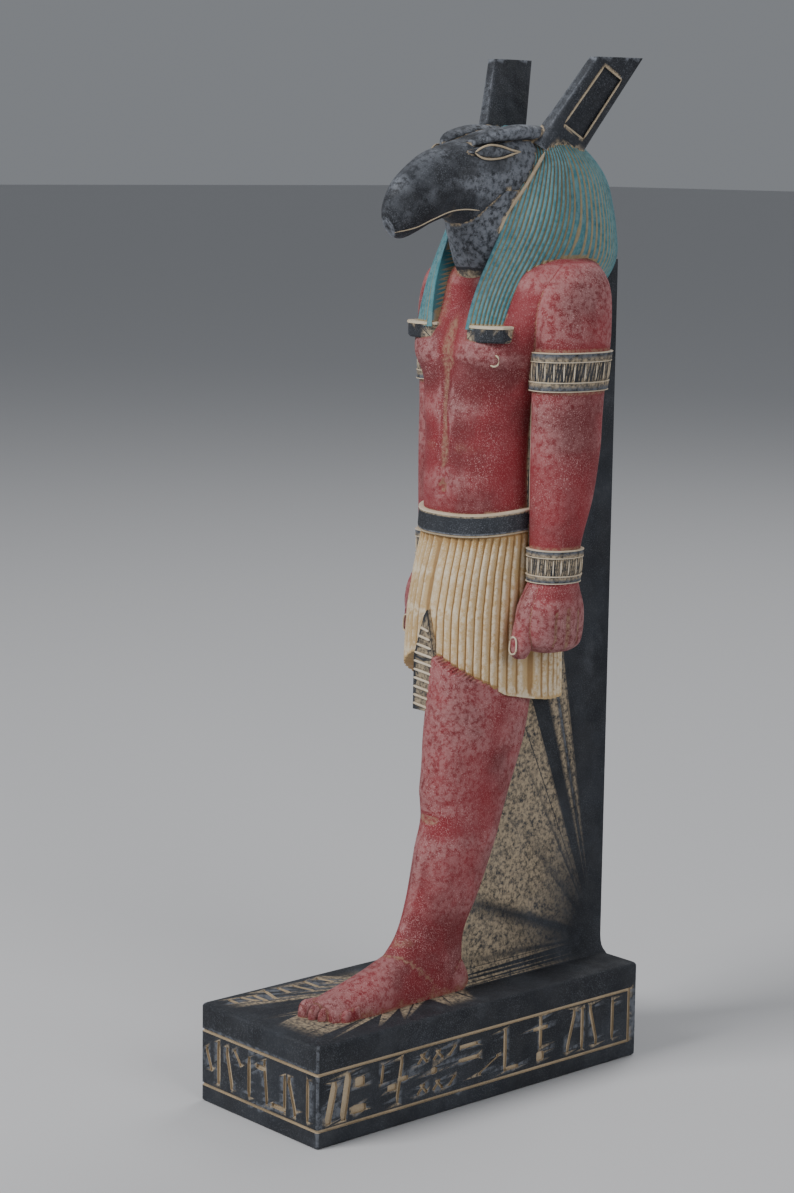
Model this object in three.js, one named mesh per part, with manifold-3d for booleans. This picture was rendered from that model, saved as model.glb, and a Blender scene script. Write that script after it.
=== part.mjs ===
// Striding animal-headed god statue: figure, back slab and plinth carved as one block of stone.
// Millimetres, +Z up, the figure faces -Y, +X is the figure's own left side.
import * as THREE from "three";
import { mergeVertices } from "three/addons/utils/BufferGeometryUtils.js";
import Module from "manifold-3d";

const wasm = await Module();
wasm.setup();

// Plinth
const PLINTH_LENGTH = 254;
const PLINTH_WIDTH = 105;
const PLINTH_HEIGHT = 59;
const PLINTH_EDGE = 2.2;
const LINE_WIDTH = 1.8;
const LINE_DEPTH = 1.2;
const LINE_HIGH = 43;
const LINE_LOW = 10.5;
const STROKE_DEPTH = 1.4;

// Back slab
const SLAB_HALF = 20.6;
const SLAB_BACK = 127;
const SLAB_TOP = 484;
const SLAB_FLARE = 6;

// Clothing and bands
const PLEATS = 48;
const PLEAT_DEPTH = 1.3;
const BAND_RISE = 1.1;
const WIG_STRANDS = 36;
const WIG_DEPTH = 1.2;

// Arms
const ARMLET = [412, 434];
const BRACELET = [302, 321];

const STONE = { color: 0x6b5552, roughness: 0.75, metalness: 0 };

const lerp = (a, b, t) => a + (b - a) * t;

function smooth(a, b, x) {
  const t = Math.min(1, Math.max(0, (x - a) / (b - a)));
  return t * t * (3 - 2 * t);
}

// Piecewise linear lookup of one column in a table sorted by its first column.
function lookup(table, x, column = 1) {
  if (x <= table[0][0]) return table[0][column];
  for (let i = 1; i < table.length; i += 1) {
    const low = table[i - 1];
    const high = table[i];
    if (x <= high[0]) return lerp(low[column], high[column], (x - low[0]) / (high[0] - low[0]));
  }
  return table[table.length - 1][column];
}

// Catmull-Rom rows between the given rows, so a short table makes a smooth body.
function resample(table, perSpan) {
  const rows = [];
  const at = (i) => table[Math.min(table.length - 1, Math.max(0, i))];
  for (let i = 0; i < table.length - 1; i += 1) {
    for (let s = 0; s < perSpan; s += 1) {
      const t = s / perSpan;
      rows.push(table[i].map((_, k) => {
        const [a, b, c, d] = [at(i - 1)[k], at(i)[k], at(i + 1)[k], at(i + 2)[k]];
        const linear = (c - a) * t;
        const square = (2 * a - 5 * b + 4 * c - d) * t * t;
        const cube = (3 * b - a - 3 * c + d) * t * t * t;
        return 0.5 * (2 * b + linear + square + cube);
      }));
    }
  }
  rows.push(table[table.length - 1]);
  return rows;
}

function toSolid(geometry) {
  const clean = geometry.clone();
  clean.deleteAttribute("normal");
  clean.deleteAttribute("uv");
  const merged = mergeVertices(clean, 1e-5);
  return new wasm.Manifold(new wasm.Mesh({
    numProp: 3,
    vertProperties: new Float32Array(merged.attributes.position.array),
    triVerts: new Uint32Array(merged.index.array),
  }));
}

// Closed body through rings of equal point count, with a fan over each end.
function loft(rings) {
  const count = rings[0].length;
  const points = rings.flat();
  const index = [];
  for (let i = 0; i < rings.length - 1; i += 1) {
    for (let j = 0; j < count; j += 1) {
      const a = i * count + j;
      const b = i * count + (j + 1) % count;
      index.push(a, b, b + count, a, b + count, a + count);
    }
  }
  for (const end of [0, rings.length - 1]) {
    const ring = rings[end];
    const centre = [0, 1, 2].map((k) => ring.reduce((sum, p) => sum + p[k], 0) / count);
    const hub = points.push(centre) - 1;
    for (let j = 0; j < count; j += 1) {
      const a = end * count + j;
      const b = end * count + (j + 1) % count;
      index.push(...(end === 0 ? [hub, b, a] : [hub, a, b]));
    }
  }
  if (signedVolume(points, index) < 0) index.reverse();
  const geometry = new THREE.BufferGeometry();
  geometry.setAttribute("position", new THREE.Float32BufferAttribute(points.flat(), 3));
  geometry.setIndex(index);
  return toSolid(geometry);
}

function signedVolume(points, index) {
  let sum = 0;
  for (let i = 0; i < index.length; i += 3) {
    const [a, b, c] = [points[index[i]], points[index[i + 1]], points[index[i + 2]]];
    sum += a[0] * (b[1] * c[2] - b[2] * c[1]);
    sum += a[1] * (b[2] * c[0] - b[0] * c[2]);
    sum += a[2] * (b[0] * c[1] - b[1] * c[0]);
  }
  return sum / 6;
}

// Unit point of a rounded-square outline; power 2 is an ellipse, more is squarer.
function outline(angle, power) {
  const bend = (v) => Math.sign(v) * Math.abs(v) ** (2 / power);
  return [bend(Math.cos(angle)), bend(Math.sin(angle))];
}

// Level ring from a row [z, x, y, half width, depth in front, depth behind, power].
function levelRing(row, count) {
  const [z, x, y, half, front, back, power] = row;
  return Array.from({ length: count }, (_, j) => {
    const [c, s] = outline((2 * Math.PI * j) / count, power);
    return [x + half * c, y + (s < 0 ? front : back) * s, z];
  });
}

const upright = (table, perSpan, count) => loft(resample(table, perSpan).map((row) => levelRing(row, count)));

function box(x0, x1, y0, y1, z0, z1) {
  const geometry = new THREE.BoxGeometry(x1 - x0, y1 - y0, z1 - z0);
  geometry.translate((x0 + x1) / 2, (y0 + y1) / 2, (z0 + z1) / 2);
  return toSolid(geometry);
}

// Side profile [y, z] drawn across the width from x0 to x1.
function sidePlate(profile, x0, x1) {
  const shape = new THREE.Shape(profile.map(([y, z]) => new THREE.Vector2(y, z)));
  const geometry = new THREE.ExtrudeGeometry(shape, { depth: x1 - x0, bevelEnabled: false });
  geometry.applyMatrix4(new THREE.Matrix4().set(0, 0, 1, x0, 1, 0, 0, 0, 0, 1, 0, 0, 0, 0, 0, 1));
  return toSolid(geometry);
}

const unite = (solids) => solids.reduce((sum, solid) => sum.add(solid));

// Strokes are [across, low, length, lean, width]; across and low are measured on the face.
const LEFT_STROKES = [
  [-119, 13, 24, 4, 5], [-108, 13, 27, 3, 5], [-96, 30, 6, 0, 7], [-97, 15, 5, 0, 11],
  [-80, 28, 11, 1, 2], [-68, 14, 27, 3, 2.4], [-72, 22, 4, 0, 7], [-64, 26, 3, 0, 8],
  [-52, 33, 6, 4, 2.4], [-46, 33, 6, -4, 2.4], [-40, 33, 6, 4, 2.4], [-34, 33, 6, -4, 2.4],
  [-28, 33, 6, 4, 2.4], [-40, 25, 4, 0, 4.5], [-52, 15, 6, 4, 2.4], [-46, 15, 6, -4, 2.4],
  [-40, 15, 6, 4, 2.4], [-34, 15, 6, -4, 2.4], [-28, 15, 6, 4, 2.4], [-13, 35, 2.5, 0, 14],
  [-13, 27, 2.5, 0, 16], [-4, 16, 10, 14, 2.4], [16, 14, 26, 0, 2.6], [22, 14, 2.5, 0, 10],
  [45, 22, 20, 0, 2.6], [45, 33, 2.5, 0, 12], [45, 14, 6, 0, 6], [68, 14, 26, 5, 2.6],
  [80, 14, 26, 0, 2.6], [92, 14, 26, -5, 2.6], [106, 15, 24, 0, 2.6],
];
const RIGHT_STROKES = [
  [-108, 14, 25, 0, 3], [-92, 14, 25, 4, 3], [-70, 33, 2.6, 0, 18], [-70, 15, 10, 0, 8],
  [-44, 14, 25, 0, 3], [-20, 14, 25, -4, 3], [2, 33, 2.6, 0, 18], [2, 20, 2.6, 0, 18],
  [28, 14, 25, 0, 3], [52, 14, 25, 4, 3], [74, 15, 10, 0, 8], [98, 14, 25, 0, 3],
];
const FRONT_STROKES = [
  [-44, 14, 25, 0, 2.6], [-33, 14, 22, 5, 3], [-24, 14, 22, 0, 2.6], [-18, 14, 3, 0, 11],
  [-8, 14, 26, 2, 2.6], [-3, 33, 3, 0, 9], [8, 14, 24, 0, 3], [16, 30, 9, 5, 2.6],
  [24, 14, 24, 4, 3], [36, 14, 26, 0, 3], [43, 20, 14, 4, 2.6],
];
const TOP_STROKES = [
  [-112, -46, 8, 0, 2.6], [-104, -46, 12, 3, 2.6], [-96, -44, 14, 0, 2.6], [-86, -46, 16, -3, 2.6],
  [-76, -46, 12, 0, 2.6], [-66, -44, 16, 3, 2.6], [-56, -46, 14, 0, 2.6], [-46, -46, 12, 3, 2.6],
];

// One stroke as a thin leaning bar through the face, drawn in the y-z plane about x = 0.
function stroke([across, low, length, lean, width]) {
  const profile = [
    [across - width / 2, low],
    [across + width / 2, low],
    [across + width / 2 + lean, low + length],
    [across - width / 2 + lean, low + length],
  ];
  return sidePlate(profile, -STROKE_DEPTH, STROKE_DEPTH);
}

function plinth() {
  const [w, l] = [PLINTH_WIDTH / 2, PLINTH_LENGTH / 2];
  const frame = (half, end, z) => [[half, -end, z], [half, end, z], [-half, end, z], [-half, -end, z]];
  const body = loft([
    frame(w - 1, l - 1, 0),
    frame(w, l, 1),
    frame(w, l, PLINTH_HEIGHT - PLINTH_EDGE),
    frame(w - PLINTH_EDGE * 0.3, l - PLINTH_EDGE * 0.3, PLINTH_HEIGHT - PLINTH_EDGE * 0.3),
    frame(w - PLINTH_EDGE, l - PLINTH_EDGE, PLINTH_HEIGHT),
  ]);
  const cuts = [];
  for (const z of [LINE_LOW, LINE_HIGH]) {
    const [a, b] = [z - LINE_WIDTH / 2, z + LINE_WIDTH / 2];
    cuts.push(box(-w - 1, -w + LINE_DEPTH, -l - 1, l - 6, a, b));
    cuts.push(box(w - LINE_DEPTH, w + 1, -l - 1, l - 6, a, b));
    cuts.push(box(-w - 1, w + 1, -l - 1, -l + LINE_DEPTH, a, b));
  }
  for (const side of [-1, 1]) {
    const x = side * w;
    cuts.push(box(x - LINE_DEPTH, x + LINE_DEPTH, l - 8, l - 6, LINE_LOW, LINE_HIGH));
  }
  for (const mark of LEFT_STROKES) cuts.push(stroke(mark).translate([w, 0, 0]));
  for (const mark of RIGHT_STROKES) cuts.push(stroke(mark).translate([-w, 0, 0]));
  for (const mark of FRONT_STROKES) cuts.push(stroke(mark).rotate([0, 0, 90]).translate([0, -l, 0]));
  for (const mark of TOP_STROKES) {
    cuts.push(stroke(mark).rotate([0, 90, 0]).translate([0, 0, PLINTH_HEIGHT]));
  }
  return body.subtract(unite(cuts));
}

// Slab behind the figure and the web of stone it sends forward between the legs.
function backSlab() {
  const flared = (z, grow) => {
    const [x, front] = [SLAB_HALF + grow, -10 - grow];
    return [[x, front, z], [x, SLAB_BACK, z], [-x, SLAB_BACK, z], [-x, front, z]];
  };
  const foot = loft([
    flared(PLINTH_HEIGHT - 1, SLAB_FLARE),
    flared(PLINTH_HEIGHT + 1.5, SLAB_FLARE * 0.45),
    flared(PLINTH_HEIGHT + 5, SLAB_FLARE * 0.12),
    flared(PLINTH_HEIGHT + 9, 0),
  ]).subtract(box(-60, 60, -30, -2, 50, 80)).subtract(box(-60, -8, -2, 30, 50, 80));
  const web = sidePlate([
    [SLAB_BACK, PLINTH_HEIGHT - 1],
    [SLAB_BACK, SLAB_TOP],
    [70, SLAB_TOP],
    [60, 330],
    [34, 215],
    [26, 173],
    [12, 130],
    [2, 100],
    [0, PLINTH_HEIGHT - 1],
  ], 0, SLAB_HALF);
  const rear = sidePlate([
    [SLAB_BACK, PLINTH_HEIGHT - 1],
    [SLAB_BACK, SLAB_TOP],
    [70, SLAB_TOP],
    [60, 330],
    [40, 215],
    [58, 130],
    [70, PLINTH_HEIGHT - 1],
  ], -SLAB_HALF, 1);
  return unite([foot, web, rear]);
}

const LEFT_LEG = [
  [262, 16, 26, 21, 34, 40, 2.2],
  [215, 14, 20, 20.5, 31.4, 40, 2.2],
  [197, 13.5, 18, 19, 30.6, 38, 2.2],
  [180, 13.2, 16, 17.6, 30, 34, 2.2],
  [172, 13, 15, 17.3, 28.4, 32, 2.2],
  [158, 13, 12, 17, 25.8, 30.5, 2.1],
  [144, 13, 8, 17, 25.7, 29.5, 2.1],
  [115, 13, 0, 15.4, 24.4, 25, 2.1],
  [95, 13.2, -7, 13, 26.6, 22, 2.1],
  [80, 13.5, -10, 12.8, 38, 23, 2.1],
  [58, 13.5, -14, 13, 46, 29, 2.2],
];

const RIGHT_LEG = [
  [262, -15, 46, 19.5, 36, 36, 2.2],
  [215, -14, 48, 19, 33, 40, 2.2],
  [180, -13.6, 53, 17.6, 31, 34, 2.2],
  [172, -13.4, 55, 17, 29, 32, 2.2],
  [144, -13.4, 61, 16.6, 26, 30, 2.1],
  [115, -13.4, 67, 15, 24, 26, 2.1],
  [95, -13.6, 71, 13.4, 25, 24, 2.1],
  [80, -13.6, 70, 13, 36, 26, 2.1],
  [58, -13.6, 68, 13, 46, 30, 2.2],
];

// Rows [y, x, half width, top] of a foot seen from the toes back; the sole is flat.
const FOOT = [
  [-93, 12.5, 13, 68],
  [-85, 13.8, 14.3, 71.5],
  [-75, 14.3, 15, 74.6],
  [-65, 14.4, 15.2, 77.6],
  [-55, 14.3, 15, 81],
  [-45, 14, 14.4, 85],
  [-30, 13.7, 13.6, 90],
  [-10, 13.5, 12.8, 92],
  [6, 13.4, 12.2, 84],
  [14, 13.4, 9, 74],
];

// Toes as [x at root, x at tip, y at tip, half width, height], big toe first.
const TOES = [
  [5.6, 4.2, -100.5, 4.9, 10],
  [12.2, 11.4, -99.5, 3.5, 8.6],
  [17.6, 17.2, -97.2, 3.2, 8],
  [22.2, 22.6, -93.4, 3, 7.6],
  [26.2, 27.2, -88.6, 3, 7.2],
];

function foot(side, shift) {
  const sole = PLINTH_HEIGHT - 1;
  const rings = resample(FOOT, 1).map(([y, x, half, top]) => Array.from({ length: 12 }, (_, j) => {
    const angle = (Math.PI * j) / 11;
    const [c, s] = outline(angle, 2.3);
    return [side * (x + half * c), y + shift, sole + (top - sole) * s];
  }));
  const parts = [loft(rings)];
  for (const [root, tip, reach, half, height] of TOES) {
    const toe = [0, 0.7, 0.92, 1].map((t, i) => {
      const shrink = [1, 1, 0.76, 0.34][i];
      const y = lerp(-76, reach, t);
      const crown = height * (i === 0 ? 1.25 : 1) * lerp(1, shrink, 0.6);
      return Array.from({ length: 8 }, (_, j) => {
        const [c, s] = outline((Math.PI * j) / 7, 2.6);
        return [side * (lerp(root, tip, t) + half * shrink * c), y + shift, sole + 1.2 * (1 - shrink) + crown * s];
      });
    });
    parts.push(loft(toe));
  }
  return unite(parts);
}

const TORSO = [
  [318, 0, 45, 35.5, 33, 36, 2.5],
  [332, 0, 45, 35.3, 35.2, 36, 2.5],
  [345, 0, 45, 34.8, 37.4, 36, 2.5],
  [358, 0, 45, 34.4, 38, 36, 2.5],
  [378, 0, 45, 34.6, 36.4, 38, 2.5],
  [400, 0, 46, 36.4, 38, 40, 2.5],
  [415, 0, 48, 38.8, 38.5, 40, 2.6],
  [421, 0, 49, 41, 39, 41, 2.7],
  [427, 0, 50, 44, 39, 42, 2.8],
  [437, 0, 51, 48, 38.4, 42, 2.8],
  [449, 0, 52, 53, 36, 44, 2.7],
  [462, 0, 54, 57, 33.4, 44, 2.6],
  [474, 0, 57, 58, 31.5, 44, 2.5],
  [481, 0, 60, 54, 28, 42, 2.4],
  [486, 0, 63, 44, 22, 38, 2.2],
];

// Chest muscles: a low swelling each side with its fullest line a little above the shelf.
function chestSwell(x, z) {
  const across = ((Math.abs(x) - 23) / 19) ** 2;
  const upward = z < 432 ? ((z - 432) / 9) ** 2 : ((z - 432) / 17) ** 2;
  return 5.4 * Math.exp(-across - upward);
}

const torso = () => loft(TORSO.map((row) => levelRing(row, 32).map(([x, y, z]) => (
  y < row[2] ? [x, y - chestSwell(x, z), z] : [x, y, z]
))));

const ARM = [
  [298, 50, 49, 12.5, 14, 14, 2.2],
  [308, 50, 50, 13.6, 14.6, 14.6, 2.2],
  [324, 50, 50.5, 14, 15, 15, 2.2],
  [350, 50, 54.5, 15.2, 19.8, 20, 2.2],
  [377, 50, 57, 15.2, 23, 23, 2.2],
  [395, 50, 57.6, 15.2, 23.4, 23.6, 2.2],
  [412, 50, 58, 15.8, 23.8, 24.4, 2.2],
  [434, 50, 60, 16, 26, 26, 2.2],
  [452, 50, 60, 16, 28, 27, 2.2],
  [467, 50, 61, 15.4, 26, 25, 2.2],
  [477, 49.5, 62, 13, 20, 21, 2.1],
  [483, 48.5, 64, 8, 12, 14, 2],
  [484.8, 48, 65, 2, 3, 4, 2],
];

// Rows of the closed hand, from the slanting underside of the fingers up to the wrist.
const HAND = [
  [261.5, 50, 49, 9, 13, 12, 2.6],
  [266, 50, 47.8, 14, 18.5, 18, 2.6],
  [276, 50, 47, 15.8, 20.6, 20.6, 2.6],
  [287, 50, 47.4, 15.6, 19.8, 20.4, 2.5],
  [296, 50, 48.6, 14, 16.8, 17, 2.4],
  [304, 50, 49.8, 12.8, 14, 14, 2.2],
];

// Thumb lying down the front of the fist.
const THUMB = [
  [258.6, 48, 25.6, 3, 3, 4, 2.2],
  [262, 48, 25.4, 5.2, 5, 6, 2.3],
  [270, 48.4, 27, 6.1, 6, 9, 2.3],
  [284, 49, 30.6, 6.4, 6.4, 10, 2.2],
  [296, 49.6, 36.5, 6, 6.2, 10, 2.2],
  [304, 50, 42, 5, 6, 9, 2.2],
];

// Raised band round the arm with a thicker rim at both ends, rows as [height, rise].
function bandAround([low, high], rim) {
  const path = [[low, 0.2], [low + 0.6, 1.7], [low + rim, 1.7], [low + rim + 0.5, BAND_RISE]];
  path.push([high - rim - 0.5, BAND_RISE], [high - rim, 1.7], [high - 0.6, 1.7], [high, 0.2]);
  const rows = path.map(([z, rise]) => {
    const row = ARM[0].map((_, k) => lookup(ARM, z, k));
    return [z, row[1], row[2], row[3] + rise, row[4] + rise, row[5] + rise, row[6]];
  });
  return loft(rows.map((row) => levelRing(row, 16)));
}

// Rolled end of the short rod held in the right hand.
const ROD = [
  [242.5, 50, 32.5, 2.4, 2.4, 2.4, 2],
  [244.5, 50, 32.5, 5, 5, 5, 2],
  [251, 50, 32.8, 5, 5, 5, 2],
  [254, 50, 33, 3.6, 3.6, 3.6, 2],
  [268, 50, 36, 3.6, 3.6, 3.6, 2],
];

function armAndHand(side) {
  const parts = [
    upright(ARM, 1, 16),
    upright(HAND, 1, 16),
    upright(THUMB, 1, 10),
    bandAround(ARMLET, 5),
    bandAround(BRACELET, 4),
  ];
  const gaps = [0, 1, 2].map((i) => box(64.4, 70, 37.6 + i * 9, 38.8 + i * 9, 262, 284));
  if (side < 0) parts.push(upright(ROD, 1, 10));
  const arm = unite(parts).subtract(unite(gaps));
  return side > 0 ? arm : arm.translate([-2, 2, 0]).mirror([1, 0, 0]);
}

// Stone left standing between each arm and the body.
const armWeb = (side) => box(side > 0 ? 28 : -46, side > 0 ? 46 : -28, 42, 72, 268, 452);

const kiltTop = (angle) => 335 + 4 * Math.sin(angle);

// Height of the hem by the angle in degrees from straight ahead to straight behind.
const HEM = [[0, 259], [14, 257], [25, 251.5], [39, 245], [63, 235], [90, 231], [112, 228.5], [180, 226]];

function hemHeight([x, y]) {
  return lookup(HEM, THREE.MathUtils.radToDeg(Math.atan2(Math.abs(x), 45 - y)));
}

// Half width, depth in front and depth behind of the skirt at each height.
const KILT = [
  [222, 38.5, 50.5, 44, 2.7],
  [256, 38.3, 50, 43, 2.7],
  [282, 37.8, 48.8, 41, 2.6],
  [305, 37, 44, 39, 2.6],
  [325, 36.6, 38, 37.5, 2.5],
  [345, 36.4, 36, 37, 2.5],
];

function wrapPoint(angle, z, rise) {
  const row = KILT[0].map((_, k) => lookup(KILT, z, k));
  const [c, s] = outline(angle, row[4]);
  return [(row[1] + rise) * c, 45 + ((s < 0 ? row[2] : row[3]) + rise) * s, z];
}

function kilt() {
  const count = PLEATS * 2;
  const levels = [0, 0.2, 0.5, 0.8, 1];
  const rings = levels.map((t) => Array.from({ length: count }, (_, j) => {
    const angle = (2 * Math.PI * j) / count;
    const top = kiltTop(angle);
    const near = wrapPoint(angle, top, 0);
    const low = wrapPoint(angle, 240, 0);
    const z = lerp(top, hemHeight(low), t);
    const groove = j % 2 === 0 ? 0 : -PLEAT_DEPTH * smooth(0, 0.2, t);
    const point = wrapPoint(angle, z, groove);
    return t === 0 ? near : point;
  }));
  return loft(rings);
}

function belt() {
  const rings = [[-7, 1.2], [-6, 2], [4, 2], [5, 1.2]].map(([lift, rise]) => (
    Array.from({ length: 32 }, (_, j) => {
      const angle = (2 * Math.PI * j) / 32;
      return wrapPoint(angle, kiltTop(angle) + lift + 3, rise);
    })
  ));
  return loft(rings);
}

// Narrow striped apron that hangs from under the overlap of the kilt.
function apron() {
  const face = (y) => [[3, 284], [10.5, 256], [8.5, 224.5], [-6.5, 224.5], [-7, 256], [0.5, 280]]
    .map(([x, z]) => [x, y + (284 - z) * -0.02, z]);
  const body = loft([face(-6.2), face(14)]);
  const ribs = [];
  for (let i = 0; i < 10; i += 1) {
    const z = 227.5 + i * 5;
    ribs.push(box(-20, 20, -12, -6.6 - (284 - z) * 0.001, z, z + 1.4));
  }
  return body.subtract(unite(ribs));
}

const NECK = [
  [462, 0, 52, 23, 28, 24, 2.4],
  [476, 0, 52, 23, 26.5, 24, 2.4],
  [484, 0, 52, 23.4, 30.5, 24, 2.4],
  [495, 0, 52, 24, 34.5, 24, 2.4],
  [508, 0, 52, 25, 38.5, 24, 2.4],
  [524, 0, 52, 25.5, 42, 24, 2.4],
];

// Sections of the head as [top y, top z, under y, under z, half width, power], nose first.
const HEAD = [
  [-39.8, 508.5, -33.5, 498.2, 3.4, 2],
  [-39.6, 513.5, -28.5, 497.2, 6.4, 2.1],
  [-37.4, 519.5, -23, 498.4, 8.8, 2.2],
  [-32, 528.5, -15.5, 501.5, 11, 2.2],
  [-24.8, 535, -9, 504.5, 12.8, 2.2],
  [-15, 541.8, -2, 507, 14.6, 2.2],
  [-6.2, 546, 4.5, 508.5, 16.6, 2.3],
  [4, 549, 12, 506, 19.2, 2.5],
  [13, 551.5, 20, 502.5, 21.6, 2.7],
  [24, 554, 30, 500, 23.6, 2.8],
  [38, 558, 42, 500, 25.6, 2.8],
  [54, 560, 54, 500, 26.6, 2.6],
  [74, 559, 74, 500, 25, 2.4],
];

function head() {
  const rings = HEAD.map(([topY, topZ, lowY, lowZ, half, power]) => (
    Array.from({ length: 22 }, (_, j) => {
      const [c, s] = outline((2 * Math.PI * j) / 22, power);
      const t = (s + 1) / 2;
      const jaw = lerp(0.8, 1, smooth(0, 0.6, t));
      return [half * jaw * c, lerp(lowY, topY, t), lerp(lowZ, topZ, t)];
    })
  ));
  const parts = [loft(rings)];
  for (const side of [-1, 1]) {
    parts.push(brow(side), eye(side));
  }
  return unite(parts);
}

// Overhanging brow from beside the bridge back to the ear.
function brow(side) {
  const rows = [
    [14, 11, 550, 3, 2],
    [19, 14, 552.4, 5.2, 2.8],
    [26, 16, 554.4, 6.6, 3.6],
    [36, 17.6, 556, 7.6, 4.2],
    [46, 18.6, 557, 8, 4.4],
    [62, 19, 556.5, 7, 4.2],
  ];
  return loft(rows.map(([y, x, z, wide, high]) => Array.from({ length: 10 }, (_, j) => {
    const [c, s] = outline((2 * Math.PI * j) / 10, 2.4);
    return [side * (x + wide * c), y, z + high * s];
  })));
}

function eye(side) {
  const length = [[9, 15, 0.5], [14, 16.8, 2.4], [20, 18.6, 3.4], [27, 20.6, 3], [38, 22.6, 0.8]];
  return loft(length.map(([y, x, high]) => Array.from({ length: 8 }, (_, j) => {
    const angle = (2 * Math.PI * j) / 8;
    return [side * (x + 3 * Math.cos(angle)), y, 545.4 + high * Math.sin(angle)];
  })));
}

// Upright slab of an ear, square on top, with a sunk panel on its outer face.
function ear(side) {
  const base = new THREE.Vector3(23.5, 71, 549);
  const tip = new THREE.Vector3(44, 97.5, 600);
  const along = tip.clone().sub(base).normalize();
  const wide = new THREE.Vector3(0.1, 1, 0);
  wide.addScaledVector(along, -wide.dot(along)).normalize();
  const thick = new THREE.Vector3().crossVectors(wide, along).normalize();
  const length = tip.distanceTo(base);
  const section = (t, half, depth, power) => Array.from({ length: 12 }, (_, j) => {
    const [c, s] = outline((2 * Math.PI * (j + 0.5)) / 12, power);
    const p = base.clone().addScaledVector(along, t * length);
    p.addScaledVector(wide, half * c).addScaledVector(thick, depth * s);
    return [side * p.x, p.y, p.z];
  });
  const slab = loft([
    section(-0.1, 17, 6.5, 5),
    section(0.2, 16.2, 4.8, 6),
    section(0.6, 15.6, 4.4, 6),
    section(1.3, 14.6, 4, 6),
  ]).subtract(box(-70, 70, 40, 140, 600, 650));
  const panel = (t, half, rise) => [[-half, -rise], [half, -rise], [half, rise], [-half, rise]].map(([a, b]) => {
    const p = base.clone().addScaledVector(along, t * length);
    p.addScaledVector(wide, a).addScaledVector(thick, Math.sign(thick.x) * 4.4 + b);
    return [side * p.x, p.y, p.z];
  });
  return slab.subtract(loft([panel(0.2, 9.5, 1.6), panel(0.86, 8.5, 1.6)]));
}

// Rows [z, middle y, half width in front, half width behind, front depth, back depth, power, notch].
const WIG = [
  [446, 60, 40.4, 21, 51.5, 30, 4, 14.5],
  [458, 62, 41, 24, 51.5, 44, 3.6, 16],
  [472, 66, 42.2, 32, 52, 56, 3.2, 18],
  [486, 70, 43, 40, 51, 57, 2.8, 20],
  [500, 72, 42.4, 41.6, 47.5, 55, 2.5, 21.5],
  [515, 72, 41.2, 41, 42, 53.4, 2.3, 22],
  [530, 71, 38.6, 38.6, 33.5, 49.5, 2.3, 22],
  [541, 70, 35.2, 35.2, 26, 42.5, 2.2, 20],
  [550, 69, 30.4, 30.4, 20, 32, 2.2, 16],
  [557, 68, 23.4, 23.4, 14.5, 21.5, 2.2, 10],
  [561, 67, 14, 14, 8, 12, 2.1, 5],
];

// Half of a wig ring, from the inner edge of one fall round the side to the middle of the back.
function wigSide([z, middle, wide, narrow, front, back, power, notch]) {
  const start = -Math.acos((notch / wide) ** (power / 2));
  return Array.from({ length: WIG_STRANDS }, (_, j) => {
    const [c, s] = outline(lerp(start, Math.PI / 2, j / (WIG_STRANDS - 0.5)), power);
    const half = lerp(narrow, wide, smooth(-0.5, 0.3, -s));
    const reach = Math.hypot(half * c, (s < 0 ? front : back) * s);
    const dip = j % 2 === 0 ? 0 : WIG_DEPTH * smooth(561, 552, z) / reach;
    return [half * c * (1 - dip), middle + (s < 0 ? front : back) * s * (1 - dip), z];
  });
}

// The wig is one shell: a hood behind, two falls in front and a notch for face and throat.
function wig() {
  const rings = WIG.map((row) => {
    const side = wigSide(row);
    const other = side.map(([x, y, z]) => [-x, y, z]).reverse();
    const [z, notch, inside] = [row[0], row[7], Math.max(44, row[1] - row[4] + 2)];
    return [...side, ...other, [-notch, inside, z], [notch, inside, z]];
  });
  return loft(rings);
}

// Plain band that closes the lower end of each front fall.
function lappetEnd(side) {
  const outer = [[14, 14], [16, 11.4], [25, 10], [34, 11.4], [39.4, 16], [40, 50], [14, 50]];
  const level = (z, grow) => outer.map(([x, y]) => {
    const away = (x - 27) / 13;
    return [side * (x + grow * away), y < 30 ? y - grow : y, z];
  });
  return loft([level(439, 0), level(440, 0.9), level(447, 0.9), level(448, 0)]);
}

function statue() {
  const parts = [plinth(), backSlab(), upright(LEFT_LEG, 1, 24), upright(RIGHT_LEG, 1, 20)];
  parts.push(foot(1, 0), foot(-1, 81));
  parts.push(kilt(), belt(), apron(), torso(), upright(NECK, 1, 16), head(), wig());
  for (const side of [-1, 1]) {
    parts.push(armAndHand(side), armWeb(side), lappetEnd(side), ear(side));
  }
  return unite(parts);
}

function toMesh(name, solid) {
  const { vertProperties, triVerts } = solid.getMesh();
  const indexed = new THREE.BufferGeometry();
  indexed.setAttribute("position", new THREE.BufferAttribute(new Float32Array(vertProperties), 3));
  indexed.setIndex(new THREE.BufferAttribute(new Uint32Array(triVerts), 1));
  indexed.computeVertexNormals();
  const mesh = new THREE.Mesh(indexed, new THREE.MeshStandardMaterial(STONE));
  mesh.name = name;
  return mesh;
}

const group = new THREE.Group();
group.add(toMesh("statue", statue()));

export default group;
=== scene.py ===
"""Painted stone statue of a striding animal-headed god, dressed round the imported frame.

Sizes are millimetres on the frame's axes (+Z up, the figure faces -Y) and become metres in place().
"""

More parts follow.
